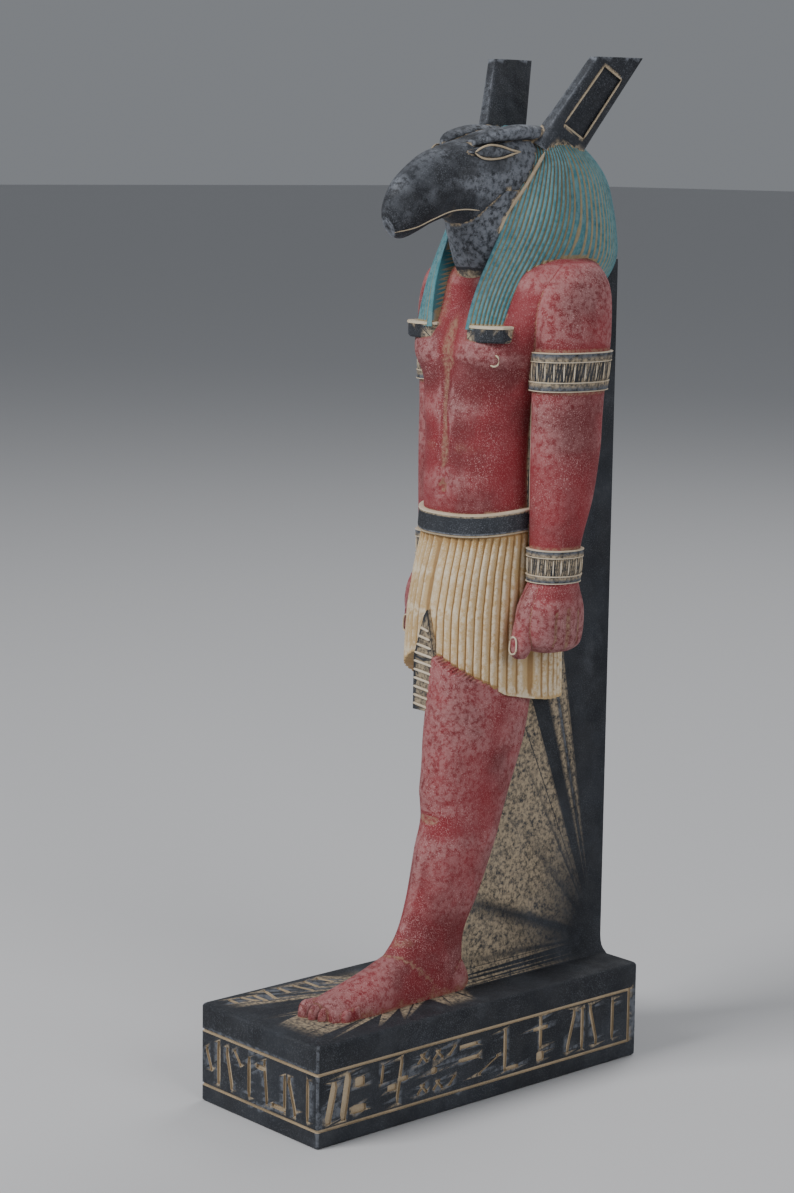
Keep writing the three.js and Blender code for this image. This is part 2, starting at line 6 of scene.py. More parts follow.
import bpy
import numpy as np
from mathutils import Matrix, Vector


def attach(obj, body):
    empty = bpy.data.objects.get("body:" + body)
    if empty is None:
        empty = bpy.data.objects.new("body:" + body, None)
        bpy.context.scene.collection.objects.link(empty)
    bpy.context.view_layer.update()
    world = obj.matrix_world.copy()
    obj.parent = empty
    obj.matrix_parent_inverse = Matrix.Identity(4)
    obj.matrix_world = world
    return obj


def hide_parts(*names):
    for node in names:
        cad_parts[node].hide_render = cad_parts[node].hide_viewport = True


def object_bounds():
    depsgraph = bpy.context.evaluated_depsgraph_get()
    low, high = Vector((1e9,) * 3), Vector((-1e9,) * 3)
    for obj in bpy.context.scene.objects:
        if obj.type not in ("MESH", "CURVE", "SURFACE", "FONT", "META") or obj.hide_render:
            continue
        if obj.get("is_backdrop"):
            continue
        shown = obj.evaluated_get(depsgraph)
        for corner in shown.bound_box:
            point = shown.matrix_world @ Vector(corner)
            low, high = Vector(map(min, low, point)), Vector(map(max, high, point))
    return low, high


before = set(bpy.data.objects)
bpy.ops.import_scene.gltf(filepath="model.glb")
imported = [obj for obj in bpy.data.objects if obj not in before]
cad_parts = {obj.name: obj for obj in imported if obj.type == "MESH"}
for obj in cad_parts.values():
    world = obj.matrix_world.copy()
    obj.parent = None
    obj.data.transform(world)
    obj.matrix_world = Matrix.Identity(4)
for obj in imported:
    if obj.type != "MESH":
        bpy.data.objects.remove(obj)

cad_low, cad_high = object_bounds()
MM = 0.001
TAU = 2 * np.pi


# Surfaces: every form is a stack of closed rings, worked out as whole arrays.
def smooth(a, b, x):
    """Smooth step from 0 at a to 1 at b."""
    t = np.clip((np.asarray(x, float) - a) / (b - a), 0, 1)
    return t * t * (3 - 2 * t)


def resample(table, steps):
    """Catmull-Rom rows through a table, with the given number of steps in each span."""
    rows = np.array(table, float)
    ext = np.vstack([rows[:1], rows, rows[-1:]])
    t = (np.arange(steps) / steps)[None, :, None]
    a, b, c, d = (ext[k : len(rows) - 1 + k, None, :] for k in range(4))
    curve = 0.5 * (2 * b + (c - a) * t + (2 * a - 5 * b + 4 * c - d) * t**2 + (3 * b - a - 3 * c + d) * t**3)
    return np.vstack([curve.reshape(-1, rows.shape[1]), rows[-1:]])


def lookup(table, x, column=1):
    """Straight-line reading of one column of a table at x."""
    rows = np.array(table, float)
    return np.interp(x, rows[:, 0], rows[:, column])


def outline(angle, power):
    """Point of a rounded-square outline: power 2 is an ellipse, more is squarer."""
    c, s = np.cos(angle), np.sin(angle)
    return np.sign(c) * np.abs(c) ** (2 / power), np.sign(s) * np.abs(s) ** (2 / power)


def level_rings(rows, count):
    """Level rings from rows [z, x, y, half width, depth in front, depth behind, power]."""
    z, x, y, half, front, back, power = (rows[:, k, None] for k in range(7))
    c, s = outline(np.arange(count)[None, :] * TAU / count, power)
    return np.stack([x + half * c, y + np.where(s < 0, front, back) * s, z + 0 * c], -1)


def closed(rings):
    """Vertices and triangles of the closed body through the rings, with a fan over each end."""
    levels, count = rings.shape[:2]
    grid = np.arange(levels * count).reshape(levels, count)
    a, b = grid[:-1], np.roll(grid[:-1], -1, 1)
    c, d = np.roll(grid[1:], -1, 1), grid[1:]
    low, high = np.full(count, levels * count), np.full(count, levels * count + 1)
    faces = np.concatenate([
        np.stack([a, b, c], -1).reshape(-1, 3),
        np.stack([a, c, d], -1).reshape(-1, 3),
        np.stack([low, np.roll(grid[0], -1), grid[0]], -1),
        np.stack([high, grid[-1], np.roll(grid[-1], -1)], -1),
    ])
    points = np.vstack([rings.reshape(-1, 3), rings[0].mean(0), rings[-1].mean(0)])
    p, q, r = (points[faces[:, k]] for k in range(3))
    return points, faces if (p * np.cross(q, r)).sum() > 0 else faces[:, ::-1]


def place(name, body, paint):
    """Object of one painted body, its place in its mesh."""
    points, faces = body
    mesh = bpy.data.meshes.new(name)
    mesh.from_pydata(points * MM, [], faces)
    for material in PAINTS.values():
        mesh.materials.append(material)
    mesh.polygons.foreach_set("material_index", np.full(len(faces), list(PAINTS).index(paint), np.int32))
    obj = bpy.data.objects.new(name, mesh)
    bpy.context.scene.collection.objects.link(obj)
    return obj


def upright(table, steps, count):
    """Closed body from a table of level rows."""
    return closed(level_rings(resample(table, steps), count))


def mirrored(body):
    """Body seen in the plane x = 0, its faces turned to keep facing outward."""
    points, faces = body
    return points * [-1, 1, 1], faces[:, ::-1]


def block(x0, x1, y0, y1, z0, z1):
    """Closed box between two values on each axis."""
    ring = np.array([[x0, y0], [x1, y0], [x1, y1], [x0, y1]], float)
    return closed(np.stack([np.column_stack([ring, np.full(4, z)]) for z in (z0, z1)]))


def side_plate(profile, x0, x1):
    """Side profile [y, z] drawn across the width."""
    ring = np.array(profile, float)
    return closed(np.stack([np.column_stack([np.full(len(ring), x), ring]) for x in (x0, x1)]))


def cord(path, radius, steps=6, sides=8):
    """Thin raised line: circles of the radius round a smooth path, tapered at both ends."""
    line = resample(path, steps)
    along = np.gradient(line, axis=0)
    along /= np.linalg.norm(along, axis=1)[:, None]
    side = np.cross(along, [0.31, 0.17, 0.93])
    side /= np.linalg.norm(side, axis=1)[:, None]
    up = np.cross(side, along)
    u = np.linspace(0, 1, len(line))
    size = radius * (0.25 + 0.75 * np.minimum(smooth(0, 0.12, u), smooth(1, 0.88, u)))
    angle = np.arange(sides) * TAU / sides
    rings = line[:, None] + size[:, None, None] * (
        np.cos(angle)[None, :, None] * side[:, None] + np.sin(angle)[None, :, None] * up[:, None]
    )
    return closed(rings)


# Paints: stone with worn paint. Each reads Object coordinates and the mesh's "hollow", "edge"
# and "broad" attributes, which say how deep in carving, how sharp and how sheltered a point is.
class Graph:
    """Short names for the shader nodes of one material."""

    def __init__(self, name, roughness):
        """Starts a stone material of one roughness."""
        self.material = bpy.data.materials.new(name)
        self.material.use_nodes = True
        self.tree = self.material.node_tree
        self.shader = self.tree.nodes["Principled BSDF"]
        self.shader.inputs["Roughness"].default_value = roughness
        self.place = self.new("ShaderNodeTexCoord").outputs["Object"]

    def new(self, kind, **values):
        """Adds a node and sets its named values."""
        node = self.tree.nodes.new(kind)
        for key, value in values.items():
            setattr(node, key, value)
        return node

    def feed(self, socket, value):
        """Links a socket, or sets it to a constant."""
        if isinstance(value, bpy.types.NodeSocket):
            self.tree.links.new(value, socket)
        else:
            socket.default_value = value

    def math(self, operation, a, b=0.0, clamp=False):
        """One sum on two values."""
        node = self.new("ShaderNodeMath", operation=operation, use_clamp=clamp)
        self.feed(node.inputs[0], a)
        self.feed(node.inputs[1], b)
        return node.outputs[0]

    def span(self, value, low, high, out_low=0.0, out_high=1.0):
        """Eased reading of a value between two limits."""
        node = self.new("ShaderNodeMapRange", interpolation_type="SMOOTHSTEP")
        for socket, item in zip(node.inputs[:5], (value, low, high, out_low, out_high)):
            self.feed(socket, item)
        return node.outputs[0]

    def noise(self, scale, detail=4.0, roughness=0.55):
        """Cloud noise at the place on the object."""
        node = self.new("ShaderNodeTexNoise")
        node.inputs["Scale"].default_value = scale
        node.inputs["Detail"].default_value = detail
        node.inputs["Roughness"].default_value = roughness
        self.feed(node.inputs["Vector"], self.place)
        return node.outputs["Fac"]

    def attribute(self, name):
        """One of the mesh's own attributes."""
        return self.new("ShaderNodeAttribute", attribute_name=name).outputs["Fac"]

    def mix(self, amount, a, b):
        """Blend of two colours."""
        node = self.new("ShaderNodeMix", data_type="RGBA")
        self.feed(node.inputs[0], amount)
        for socket, value in ((node.inputs[6], a), (node.inputs[7], b)):
            self.feed(socket, (*value, 1.0) if isinstance(value, tuple) else value)
        return node.outputs[2]

    def finish(self, colour, height, distance=0.0006, roughness=None):
        """Feeds colour, bump and roughness to the shader."""
        bump = self.new("ShaderNodeBump")
        bump.inputs["Strength"].default_value = 0.7
        bump.inputs["Distance"].default_value = distance
        self.feed(bump.inputs["Height"], height)
        self.feed(self.shader.inputs["Normal"], bump.outputs[0])
        self.feed(self.shader.inputs["Base Color"], colour)
        if roughness is not None:
            self.feed(self.shader.inputs["Roughness"], roughness)
        return self.material


def paint(name, base, deep, pale, dust, speckle=0.5, edge_pale=0.5, dusty=0.8, cloud=0.4, groove=None):
    """Paint over stone: patches of deep, pale speckle, dust in the hollows and pale edges of worn paint,
    which on the head's black are partly a painted highlight.
    """
    g = Graph(name, 0.72)
    patches = g.span(g.noise(26, 5), 0.38, 0.66)
    colour = g.mix(patches, base, deep)
    grain = g.noise(1500, 2, 0.6)
    areas = g.span(g.noise(34, 6, 0.62), 0.42, 0.68)
    fleck = g.math("MULTIPLY", g.span(grain, 0.52, 0.68), g.math("MULTIPLY_ADD", areas, 0.85))
    colour = g.mix(g.math("MULTIPLY", fleck, speckle, clamp=True), colour, pale)
    clouds = g.math("MULTIPLY", g.span(g.noise(48, 8, 0.68), 0.5, 0.78), cloud)
    colour = g.mix(clouds, colour, pale)
    if groove:
        colour = g.mix(g.span(g.attribute("hollow"), 0.08, 0.4, 0.0, 0.9), colour, groove)
    broken = g.span(g.noise(420, 4, 0.7), 0.3, 0.66)
    lodged = g.math("MULTIPLY", g.span(g.attribute("hollow"), 0.15, 0.75), broken)
    sheltered = g.math("MULTIPLY", g.span(g.attribute("broad"), 0.3, 0.9, 0.0, 0.6), broken)
    amount = g.math("MULTIPLY", g.math("MAXIMUM", lodged, sheltered), dusty)
    colour = g.mix(amount, colour, dust)
    uneven = g.span(g.noise(300, 5, 0.7), 0.35, 0.6)
    # Pale on sharp edges: worn paint, and on the head's black partly a painted highlight.
    pale_edge_patches = g.math("MULTIPLY", g.span(g.attribute("edge"), 0.2, 0.8), uneven)
    colour = g.mix(g.math("MULTIPLY", pale_edge_patches, edge_pale), colour, pale)
    height = g.math("ADD", g.math("MULTIPLY", grain, 0.5), g.noise(240, 6, 0.65))
    rough = g.span(g.noise(60, 5), 0.3, 0.7, 0.58, 0.88)
    return g.finish(colour, height, 0.0005, rough)


DUST = (0.52, 0.41, 0.27)
BLACK = dict(base=(0.012, 0.014, 0.019), deep=(0.022, 0.026, 0.034), pale=(0.24, 0.26, 0.3), dust=DUST)
CREAM = (0.66, 0.56, 0.42)
PAINTS = {
    "stone": paint("black_stone", **BLACK, speckle=0.22, edge_pale=0.45, cloud=0.14),
    # The head's black is a paler copy of the plinth's, with more speckle, clouds and pale edges: partly worn
    # paint, partly a painted highlight for the light top of the head and snout.
    "head": paint("black_head_worn_and_highlit", **BLACK, speckle=0.34, edge_pale=0.7, cloud=0.2, dusty=0.9),
    "skin": paint("crimson_skin", (0.25, 0.02, 0.028), (0.15, 0.014, 0.018), (0.58, 0.33, 0.32),
                  (0.36, 0.24, 0.15), speckle=0.6, edge_pale=0.4, cloud=0.16, dusty=0.7),
    "wig": paint("turquoise_wig", (0.045, 0.19, 0.225), (0.03, 0.13, 0.165), (0.2, 0.36, 0.38),
                 (0.42, 0.31, 0.16), speckle=0.25, edge_pale=0.45, cloud=0.12, groove=(0.3, 0.24, 0.14)),
    "kilt": paint("cream_kilt", (0.58, 0.4, 0.19), (0.47, 0.3, 0.12), (0.76, 0.66, 0.5),
                  (0.33, 0.19, 0.07), speckle=0.5, edge_pale=0.85, cloud=0.3, groove=(0.36, 0.21, 0.08)),
    "cream": paint("cream_line", CREAM, (0.56, 0.44, 0.29), (0.74, 0.68, 0.58), (0.3, 0.22, 0.14),
                   speckle=0.4, edge_pale=0.2, dusty=0.3),
    "incised": paint("dusty_cut", (0.5, 0.4, 0.27), (0.36, 0.28, 0.18), (0.62, 0.54, 0.42),
                     (0.3, 0.22, 0.14), speckle=0.5, edge_pale=0.2, dusty=0.3),
}
statue_parts = []


def add(name, body, paint_name):
    """Lists one painted body for the joining at the end."""
    statue_parts.append(place(name, body, paint_name))


# Plinth: an oblong block of black stone with incised lines and rows of shallow strokes,
# carved in one with everything that stands on it.
# A stroke is [across, low, length, lean, width], measured on its face.
PLINTH = (254, 105, 59)
LINE = dict(width=1.8, depth=1.2, high=43, low=10.5)
STROKE_DEPTH = 1.4
LEFT_STROKES = [
    (-119, 13, 24, 4, 5), (-108, 13, 27, 3, 5), (-96, 30, 6, 0, 7), (-97, 15, 5, 0, 11),
    (-80, 28, 11, 1, 2), (-68, 14, 27, 3, 2.4), (-72, 22, 4, 0, 7), (-64, 26, 3, 0, 8),
    (-40, 25, 4, 0, 4.5), (-13, 35, 2.5, 0, 14), (-13, 27, 2.5, 0, 16), (-4, 16, 10, 14, 2.4),
    (16, 14, 26, 0, 2.6), (22, 14, 2.5, 0, 10), (45, 22, 20, 0, 2.6), (45, 33, 2.5, 0, 12),
    (45, 14, 6, 0, 6), (68, 14, 26, 5, 2.6), (80, 14, 26, 0, 2.6), (92, 14, 26, -5, 2.6),
    (106, 15, 24, 0, 2.6),
]
LEFT_STROKES += [(-52 + 6 * i, z, 6, 4 - 8 * (i % 2), 2.4) for z in (33, 15) for i in range(5)]
RIGHT_STROKES = [
    (-108, 14, 25, 0, 3), (-92, 14, 25, 4, 3), (-70, 33, 2.6, 0, 18), (-70, 15, 10, 0, 8),
    (-44, 14, 25, 0, 3), (-20, 14, 25, -4, 3), (2, 33, 2.6, 0, 18), (2, 20, 2.6, 0, 18),
    (28, 14, 25, 0, 3), (52, 14, 25, 4, 3), (74, 15, 10, 0, 8), (98, 14, 25, 0, 3),
]
FRONT_STROKES = [
    (-44, 14, 25, 0, 2.6), (-33, 14, 22, 5, 3), (-24, 14, 22, 0, 2.6), (-18, 14, 3, 0, 11),
    (-8, 14, 26, 2, 2.6), (-3, 33, 3, 0, 9), (8, 14, 24, 0, 3), (16, 30, 9, 5, 2.6),
    (24, 14, 24, 4, 3), (36, 14, 26, 0, 3), (43, 20, 14, 4, 2.6),
]
TOP_STROKES = [
    (-112, -46, 8, 0, 2.6), (-104, -46, 12, 3, 2.6), (-96, -44, 14, 0, 2.6), (-86, -46, 16, -3, 2.6),
    (-76, -46, 12, 0, 2.6), (-66, -44, 16, 3, 2.6), (-56, -46, 14, 0, 2.6), (-46, -46, 12, 3, 2.6),
]


def plinth_body():
    """Oblong rings with rounded corners, close together where the top edge turns over."""
    half_w, half_l = PLINTH[1] / 2, PLINTH[0] / 2
    turn = np.linspace(0, np.pi / 2, 6)
    levels = [(0, 1.0), (1, 0.0)] + [(z, 0.0) for z in np.linspace(6, 56, 12)]
    levels += [(PLINTH[2] - 2.2 * (1 - np.sin(t)), 2.2 * (1 - np.cos(t))) for t in turn]
    rings = []
    for z, inset in levels:
        w, l = half_w - inset, half_l - inset
        arc = np.linspace(0, np.pi / 2, 5)
        corner = np.column_stack([np.cos(arc), np.sin(arc)]) * 1.6
        ring = []
        for sx, sy, flip in ((1, 1, 1), (-1, 1, -1), (-1, -1, 1), (1, -1, -1)):
            bend = corner[::flip] * [sx, sy]
            ring.append(bend + [sx * (w - 1.6), sy * (l - 1.6)])
        ring = np.vstack(ring)
        dense = np.vstack([ring[i] + (np.roll(ring, -1, 0)[i] - ring[i]) * np.linspace(0, 1, 13)[:-1, None]
                           if i % 5 == 4 else ring[i : i + 1] for i in range(len(ring))])
        rings.append(np.column_stack([dense, np.full(len(dense), z)]))
    return closed(np.stack(rings))


def stroke(across, low, length, lean, width):
    """Shallow leaning bar with narrowed ends, in the y-z plane about x = 0."""
    half = width / 2
    profile = [
        (across - half * 0.6, low), (across + half * 0.6, low), (across + half, low + length * 0.15),
        (across + half + lean, low + length * 0.85), (across + half * 0.6 + lean, low + length),
        (across - half * 0.6 + lean, low + length), (across - half + lean, low + length * 0.85),
        (across - half, low + length * 0.15),
    ]
    return side_plate(profile, -STROKE_DEPTH, STROKE_DEPTH)


def moved(body, columns, offset):
    """Body with its axes taken in another order and then shifted."""
    points, faces = body
    turned = np.column_stack([points[:, abs(c) - 1] * np.sign(c) for c in columns]) + offset
    p, q, r = (turned[faces[:, k]] for k in range(3))
    return turned, faces if (p * np.cross(q, r)).sum() > 0 else faces[:, ::-1]


plinth = place("plinth", plinth_body(), "stone")
cutters = []
HALF_W, HALF_L = PLINTH[1] / 2, PLINTH[0] / 2
for z in (LINE["low"], LINE["high"]):
    a, b = z - LINE["width"] / 2, z + LINE["width"] / 2
    cutters.append(block(-HALF_W - 1, -HALF_W + LINE["depth"], -HALF_L - 1, HALF_L - 6, a, b))
    cutters.append(block(HALF_W - LINE["depth"], HALF_W + 1, -HALF_L - 1, HALF_L - 6, a, b))
    cutters.append(block(-HALF_W - 1, HALF_W + 1, -HALF_L - 1, -HALF_L + LINE["depth"], a, b))
for x in (-HALF_W, HALF_W):
    near, far = x - LINE["depth"], x + LINE["depth"]
    cutters.append(block(near, far, HALF_L - 8, HALF_L - 6, LINE["low"], LINE["high"]))
for marks, columns, offset in (
    (LEFT_STROKES, (1, 2, 3), (HALF_W, 0, 0)),
    (RIGHT_STROKES, (1, 2, 3), (-HALF_W, 0, 0)),
    (FRONT_STROKES, (-2, 1, 3), (0, -HALF_L, 0)),
    (TOP_STROKES, (3, 2, 1), (0, 0, PLINTH[2])),
):
    cutters += [moved(stroke(*mark), columns, offset) for mark in marks]

# Back slab: the pillar of stone left behind the figure, with the web between the legs.
SLAB_HALF, SLAB_BACK = 20.6, 127
flare = [(58, 6.0), (59.4, 4.4), (60.8, 2.6), (62.6, 1.3), (65, 0.5), (69, 0.0)]
add("slab_foot", closed(np.stack([
    np.array([[SLAB_HALF + g, 4 - g, z], [SLAB_HALF + g, SLAB_BACK, z],
              [-SLAB_HALF - g, SLAB_BACK, z], [-SLAB_HALF - g, 50 - g, z]])
    for z, g in flare])), "stone")
WEB = [(127, 58), (127, 484), (70, 484), (60, 330), (34, 215), (26, 173), (12, 130), (2, 100), (0, 58)]
REAR = [(127, 58), (127, 484), (70, 484), (60, 330), (40, 215), (58, 130), (70, 58)]
add("web", side_plate(WEB, 0, SLAB_HALF), "stone")
add("rear_slab", side_plate(REAR, -SLAB_HALF, 1), "stone")

# Legs and feet: red painted stone, the left one striding forward. The kilt's tables stand here
# too, because the thighs go in under its hem.
PLEATS, PLEAT_DEPTH = 48, 1.3
KILT = [
    (222, 38.5, 50.5, 44, 2.7), (256, 38.3, 50, 43, 2.7), (282, 37.8, 48.8, 41, 2.6),
    (305, 37, 44, 39, 2.6), (325, 36.6, 38, 37.5, 2.5), (345, 36.4, 36, 37, 2.5),
]
HEM = [(0, 259), (14, 257), (25, 251.5), (39, 245), (63, 235), (90, 231), (112, 228.5), (180, 226)]
LEFT_LEG = [
    (262, 16, 26, 21, 34, 40, 2.2), (215, 14, 20, 20.5, 31.4, 40, 2.2),
    (197, 13.5, 18, 19, 30.6, 38, 2.2),
    (180, 13.2, 16, 17.6, 30, 34, 2.2), (172, 13, 15, 17.3, 28.4, 32, 2.2),
    (158, 13, 12, 17, 25.8, 30.5, 2.1),
    (144, 13, 8, 17, 25.7, 29.5, 2.1), (115, 13, 0, 15.4, 24.4, 25, 2.1),
    (95, 13.2, -7, 13, 26.6, 22, 2.1),
    (80, 13.5, -10, 12.8, 38, 23, 2.1), (58, 13.5, -14, 13, 46, 29, 2.2),
]
RIGHT_LEG = [
    (262, -15, 46, 19.5, 36, 36, 2.2), (215, -14, 48, 19, 33, 40, 2.2),
    (180, -13.6, 53, 17.6, 31, 34, 2.2),
    (172, -13.4, 55, 17, 29, 32, 2.2), (144, -13.4, 61, 16.6, 26, 30, 2.1),
    (115, -13.4, 67, 15, 24, 26, 2.1),
    (95, -13.6, 71, 13.4, 25, 24, 2.1), (80, -13.6, 70, 13, 36, 26, 2.1),
    (58, -13.6, 68, 13, 46, 30, 2.2),
]


def leg_body(table):
    """Loft of the leg with a kneecap and a shin ridge; above the hem it is drawn in under the kilt."""
    rows = resample(table, 7)[::-1]
    levels = np.unique(np.concatenate([np.arange(58, 226, 2.4), np.arange(226, 262.1, 1.2)]))
    rows = np.column_stack([levels] + [np.interp(levels, rows[:, 0], rows[:, k]) for k in range(1, 7)])
    rings = level_rings(rows, 72)
    x, y, z = rings[..., 0], rings[..., 1], rings[..., 2]
    centre = rings.mean(1, keepdims=True)
    ahead = smooth(0, -16, y - centre[..., 1])
    across = (x - centre[..., 0]) / 9
    knee = 1.5 * np.exp(-(((z - 178) / 7) ** 2) - across**2)
    knee -= 1.1 * np.exp(-(((z - 163) / 4) ** 2) - across**2)
    shin = 0.9 * np.exp(-((across * 2.2) ** 2)) * smooth(88, 105, z) * smooth(160, 145, z)
    y -= ahead * (knee + shin)
    angle = np.arctan2(y - 45, x)
    half, front, behind, power = (lookup(KILT, z, k) for k in range(1, 5))
    depth = np.where(y < 45, front, behind)
    sideways = (np.abs(np.cos(angle)) / half) ** power
    forward = (np.abs(np.sin(angle)) / depth) ** power
    reach = (sideways + forward) ** (-1 / power)
    hem = lookup(HEM, np.degrees(np.arctan2(np.abs(x), 45 - y)))
    radius = np.hypot(x, y - 45)
    tuck = np.minimum(1, (reach - 2.2) / radius)
    scale = 1 + (tuck - 1) * smooth(0.2, 1.6, z - hem)
    x *= scale
    y[:] = 45 + (y - 45) * scale
    return closed(rings)


add("left_leg", leg_body(LEFT_LEG), "skin")
add("right_leg", leg_body(RIGHT_LEG), "skin")
FOOT = [
    (-93, 12.5, 13, 68), (-85, 13.8, 14.3, 71.5), (-75, 14.3, 15, 74.6), (-65, 14.4, 15.2, 77.6),
    (-55, 14.3, 15, 81), (-45, 14, 14.4, 85), (-30, 13.7, 13.6, 90), (-10, 13.5, 12.8, 92),
    (6, 13.4, 12.2, 84), (14, 13.4, 9, 74),
]
TOES = [
    (5.6, 4.2, -100.5, 4.9, 10), (12.2, 11.4, -99.5, 3.5, 8.6), (17.6, 17.2, -97.2, 3.2, 8),
    (22.2, 22.6, -93.4, 3, 7.6), (26.2, 27.2, -88.6, 3, 7.2),
]
SOLE = 58


def arch_rings(y, x, half, top, power, count=30):
    """Upright half outlines standing on the sole, one for each y."""
    c, s = outline(np.linspace(0, np.pi, count)[None, :], power)
    y, x, half, top = (np.asarray(v, float)[:, None] for v in (y, x, half, top))
    return np.stack([x + half * c, y + 0 * c, SOLE + (top - SOLE) * s], -1)


def foot_bodies():
    """Foot, toes and toenails: half outlines that stand on the sole, smaller towards the tips."""
    rows = resample(FOOT, 4)
    yield "foot", closed(arch_rings(rows[:, 0], rows[:, 1], rows[:, 2], rows[:, 3], 2.3)), "skin"
    for i, (root, tip, reach, half, height) in enumerate(TOES):
        t = np.concatenate([np.linspace(0, 0.7, 6), 0.7 + 0.3 * np.sin(np.linspace(0.15, np.pi / 2, 9))])
        shrink = np.sqrt(np.clip(1 - (np.clip(t - 0.7, 0, 1) / 0.302) ** 2.4, 0.02, 1))
        y = -76 + (reach + 76) * t
        crown = height * (1 + 0.25 * smooth(0.5, 0, t)) * (0.35 + 0.65 * shrink)
        knuckle = 0.5 * np.exp(-(((t - 0.62) / 0.12) ** 2))
        toe = arch_rings(y, root + (tip - root) * t, half * shrink, SOLE + crown + knuckle, 2.6, 20)
        yield f"toe_{i}", closed(toe), "skin"
        nail_y = np.linspace(reach + 6.6, reach + 1.6, 5)
        nail_top = SOLE + height * np.array([1.0, 1.02, 0.99, 0.93, 0.8]) + 0.35
        nail = arch_rings(nail_y, np.full(5, tip), np.full(5, half * 0.62), nail_top, 3.2, 14)
        nail[..., 2] = np.maximum(nail[..., 2], SOLE + height * 0.6)
        yield f"nail_{i}", closed(nail), "skin"


for label, body, name in foot_bodies():
    add("left_" + label, body, name)
    points, faces = mirrored(body)
    add("right_" + label, (points + [0, 81, 0], faces), name)

# Kilt: cream pleats that fan down to a slanting hem, over a black belt and a striped apron.
def wrap(angle, z, rise):
    """Point of the skirt's surface at an angle round the body and a height, raised by rise."""
    half, front, back, power = (lookup(KILT, z, k) for k in range(1, 5))
    c, s = outline(angle, power)
    return np.stack([(half + rise) * c, 45 + (np.where(s < 0, front, back) + rise) * s, z + 0 * c], -1)


def kilt_body():
    """Grid of heights by angles; each pleat is a rounded ridge that lies over the next one."""
    per = 7
    angle = np.arange(PLEATS * per)[None, :] * TAU / (PLEATS * per)
    t = np.linspace(0, 1, 30)[:, None]
    low = wrap(angle, 240.0 + 0 * angle, 0)
    degrees = np.degrees(np.arctan2(np.abs(low[..., 0]), 45 - low[..., 1]))
    top = 335 + 4 * np.sin(angle)
    z = top + (lookup(HEM, degrees) - top) * t
    phase = (angle * PLEATS / TAU) % 1
    ridge = np.where(phase < 0.22, smooth(0, 0.22, phase), np.cos((phase - 0.22) / 0.78 * np.pi / 2) ** 0.7)
    return closed(wrap(angle + 0 * t, z, -PLEAT_DEPTH * (1 - ridge) * smooth(0, 0.12, t)))


def belt_body(levels):
    """Rings round the waist from pairs of lift above the belt line and rise off the kilt."""
    angle = np.arange(120)[None, :] * TAU / 120
    lift, rise = (np.array(v, float)[:, None] for v in zip(*levels))
    return closed(wrap(angle + 0 * lift, 338 + 4 * np.sin(angle) + lift, rise + 0 * angle))


add("kilt", kilt_body(), "kilt")
add("belt", belt_body([(-7, 1.2), (-6.4, 1.9), (-5, 2.1), (3, 2.1), (4.4, 1.9), (5, 1.2)]), "head")
add("belt_top_line", belt_body([(4.2, 1), (4.4, 2.3), (5.2, 2.3), (5.6, 1)]), "cream")
add("belt_low_line", belt_body([(-8, 1), (-7.6, 2.0), (-7, 2.0), (-6.6, 1)]), "incised")
APRON = [(3, 284), (10.5, 256), (8.5, 224.5), (-6.5, 224.5), (-7, 256), (0.5, 280)]
apron_ring = np.array([[x, 0, z] for x, z in APRON], float)
apron_y = -6.2 - (284 - apron_ring[:, 2]) * 0.02
apron_front = apron_ring + np.column_stack([0 * apron_y, apron_y, 0 * apron_y])
add("apron", closed(np.stack([apron_front, apron_ring + [0, 14, 0]])), "stone")
for i in range(10):
    z = 227.5 + 5 * i
    left = lookup([(224.5, -6.3), (256, -6.8), (280, 0.5)], z)
    right = lookup([(224.5, 8.3), (256, 10.3), (284, 3)], z)
    y = -6.7 - (284 - z) * 0.02
    line = [(left + 0.5, y, z + 0.8), ((left + right) / 2, y, z), (right - 0.5, y, z - 0.8)]
    add(f"apron_line_{i}", cord(line, 0.75), "cream")

# Body: red torso with chest muscles; the neck runs up dark into the head.
TORSO = [
    (318, 0, 45, 35.5, 33, 36, 2.5), (332, 0, 45, 35.3, 35.2, 36, 2.5),
    (345, 0, 45, 34.8, 37.4, 36, 2.5),
    (358, 0, 45, 34.4, 38, 36, 2.5), (378, 0, 45, 34.6, 36.4, 38, 2.5), (400, 0, 46, 36.4, 38, 40, 2.5),
    (415, 0, 48, 38.8, 38.5, 40, 2.6), (421, 0, 49, 41, 39, 41, 2.7), (427, 0, 50, 44, 39, 42, 2.8),
    (437, 0, 51, 48, 38.4, 42, 2.8), (449, 0, 52, 53, 36, 44, 2.7), (462, 0, 54, 57, 33.4, 44, 2.6),
    (474, 0, 57, 58, 31.5, 44, 2.5), (481, 0, 60, 54, 28, 42, 2.4), (486, 0, 63, 44, 22, 38, 2.2),
]


def torso_body():
    """Loft with a swelling each side for the chest, a navel and the midline of the belly."""
    rings = level_rings(resample(TORSO, 6), 160)
    x, y, z = rings[..., 0], rings[..., 1], rings[..., 2]
    up = np.where(z < 432, ((z - 432) / 9) ** 2, ((z - 432) / 17) ** 2)
    swell = 5.4 * np.exp(-(((np.abs(x) - 23) / 19) ** 2) - up)
    navel = 2.4 * np.exp(-(x**2 / 7) - ((z - 355) ** 2) / 10)
    midline = 0.8 * np.exp(-((x / 3) ** 2)) * smooth(362, 372, z) * smooth(424, 410, z)
    y -= np.where(y < 45, swell - navel - midline, 0)
    return closed(rings)


def chest_ring(side):
    """Small raised circle lying on the chest."""
    angle = np.linspace(0, TAU, 17)[:, None]
    x, z = side * 33 + 3.1 * np.cos(angle), 429 + 3.3 * np.sin(angle)
    y = 15.2 + 0.32 * (side * x - 33) - 0.02 * (z - 429)
    return cord(np.hstack([x, y, z]), 0.55, 3)


